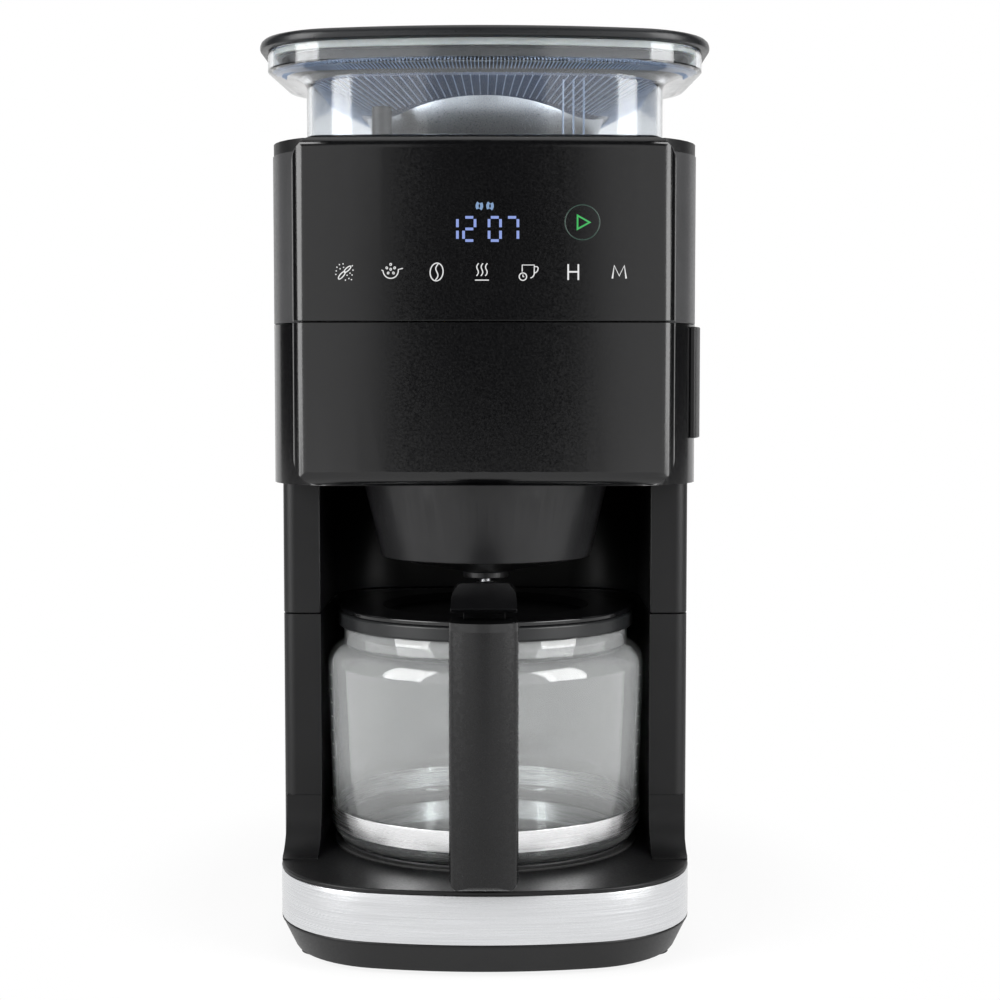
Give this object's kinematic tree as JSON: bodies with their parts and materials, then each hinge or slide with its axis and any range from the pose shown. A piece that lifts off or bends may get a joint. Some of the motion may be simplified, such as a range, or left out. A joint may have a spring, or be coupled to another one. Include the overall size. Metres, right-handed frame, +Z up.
{
  "type": "grind and brew coffee maker",
  "caption": "Tall drip coffee maker with a bean hopper and burr grinder in its head, a swing-open filter door, a touch panel and a glass carafe on a warming plate.",
  "frame": {"origin": "on the ground under the middle of the machine's box", "axes": "+Z up, the front with the panel faces -Y, +X is the machine's left as it faces out, the viewer's right"},
  "size_m": [0.207, 0.3014, 0.418],
  "materials": {
    "black_moulding": "satin moulded black plastic",
    "gloss_front": "gloss black front moulding",
    "brushed_band": "brushed stainless band",
    "warming_coat": "non-stick coated steel",
    "rubber": "moulded rubber",
    "steel": "turned metal",
    "burr_steel": "ground burr steel",
    "heater_alloy": "cast alloy",
    "tube_silicone": "silicone tube",
    "circuit_board": "coated circuit board",
    "tank_clear": "translucent moulded plastic",
    "hopper_clear": "translucent blue-grey plastic",
    "filter_moulding": "gloss dark grey plastic",
    "mesh": "gold-tone mesh",
    "glass": "clear blown glass",
    "collar_grey": "grey moulded plastic",
    "handle_satin": "satin dark grey plastic",
    "lid_gloss": "gloss black plastic",
    "lid_smoke": "satin black plastic",
    "grinder_moulding": "moulded plastic",
    "gear_nylon": "nylon",
    "adjuster": "moulded plastic"
  },
  "bodies": {
    "machine": {"rubber_feet": "rubber", "base_pan": "black_moulding", "bottom_screws": "steel", "base_trim_band": "brushed_band", "base_deck": "black_moulding", "warming_plate": "warming_coat", "plate_gasket": "rubber", "heater_ring": "heater_alloy", "riser_tube": "tube_silicone", "feed_tube": "tube_silicone", "power_board": "circuit_board", "tower_lower": "black_moulding", "tower_upper": "black_moulding", "rear_cover": "black_moulding", "rear_cover_screws": "steel", "cord_gland": "black_moulding", "water_tank": "tank_clear", "head_housing": "black_moulding", "door_hinge_pins": "steel", "touch_panel": "gloss_front", "display_module": "circuit_board", "touch_board": "circuit_board", "shower_head": "black_moulding", "gear_plate": "steel", "grinder_chamber": "grinder_moulding", "grounds_chute": "grinder_moulding", "grinder_motor": "heater_alloy", "idler_pin": "steel", "top_deck": "black_moulding", "tank_lid_pins": "steel", "bean_hopper": "hopper_clear", "hopper_funnel": "hopper_clear", "basket_carrier": "black_moulding", "filter_holder": "filter_moulding", "mesh_filter": "mesh", "valve_spring": "steel"},
    "door": {"basket_door": "gloss_front", "door_grip": "gloss_front", "door_catch": "black_moulding"},
    "valve": {"drip_valve": "filter_moulding", "valve_seal": "rubber"},
    "carafe": {"carafe_glass": "glass", "carafe_hoop": "brushed_band", "carafe_collar": "collar_grey", "carafe_handle": "handle_satin", "handle_screw": "steel", "lid_hinge_pin": "steel"},
    "carafe_lid": {"carafe_lid": "lid_gloss", "lid_lever": "lid_gloss"},
    "hopper_lid": {"hopper_lid": "lid_smoke", "hopper_lid_seal": "rubber"},
    "tank_lid": {"tank_lid": "lid_smoke"},
    "burr": {"lower_burr": "burr_steel", "burr_shaft": "steel", "burr_gear": "gear_nylon"},
    "idler": {"idler_gear": "gear_nylon"},
    "pinion": {"motor_pinion": "steel"},
    "grind_adjuster": {"adjust_ring": "adjuster", "upper_burr": "burr_steel", "grind_lever": "black_moulding"}
  },
  "joints": [
    {"name": "door_swing", "type": "hinge", "parent": "machine", "child": "door", "pos_m": [-0.092, -0.07775, 0.252], "axis": [0, 0, -1], "range_deg": [0, 90]},
    {"name": "carafe_slide", "type": "slide", "parent": "machine", "child": "carafe", "axis": [0, -1, 0], "range_m": [0, 0.18]},
    {"name": "carafe_lid_hinge", "type": "hinge", "parent": "carafe", "child": "carafe_lid", "pos_m": [0, -0.10575, 0.1529], "axis": [1, 0, 0], "range_deg": [0, 5]},
    {"name": "drip_valve_slide", "type": "slide", "parent": "machine", "child": "valve", "axis": [0, 0, 1], "range_m": [0, 0.004], "stiffness_N_per_m": 60, "springref_m": -0.002, "deforming": ["valve_spring"]},
    {"name": "hopper_lid_lift", "type": "slide", "parent": "machine", "child": "hopper_lid", "axis": [0, 0, 1], "range_m": [0, 0.08]},
    {"name": "tank_lid_hinge", "type": "hinge", "parent": "machine", "child": "tank_lid", "pos_m": [0, 0.14025, 0.3708], "axis": [-1, 0, 0], "range_deg": [0, 85]},
    {"name": "burr_spin", "type": "hinge", "parent": "machine", "child": "burr", "pos_m": [0, -0.02925, 0.313], "axis": [0, 0, 1], "continuous": true},
    {"name": "idler_spin", "type": "hinge", "parent": "machine", "child": "idler", "pos_m": [0, 0.01575, 0.298], "axis": [0, 0, 1], "continuous": true},
    {"name": "pinion_spin", "type": "hinge", "parent": "machine", "child": "pinion", "pos_m": [0, 0.03825, 0.298], "axis": [0, 0, 1], "continuous": true},
    {"name": "grind_adjust", "type": "hinge", "parent": "machine", "child": "grind_adjuster", "pos_m": [0, -0.02925, 0.342], "axis": [0, 0, 1], "range_deg": [-12, 12]}
  ],
  "couplings": [
    {"joint": "idler_spin", "follows": "burr_spin", "ratio": -2},
    {"joint": "pinion_spin", "follows": "burr_spin", "ratio": 4}
  ]
}
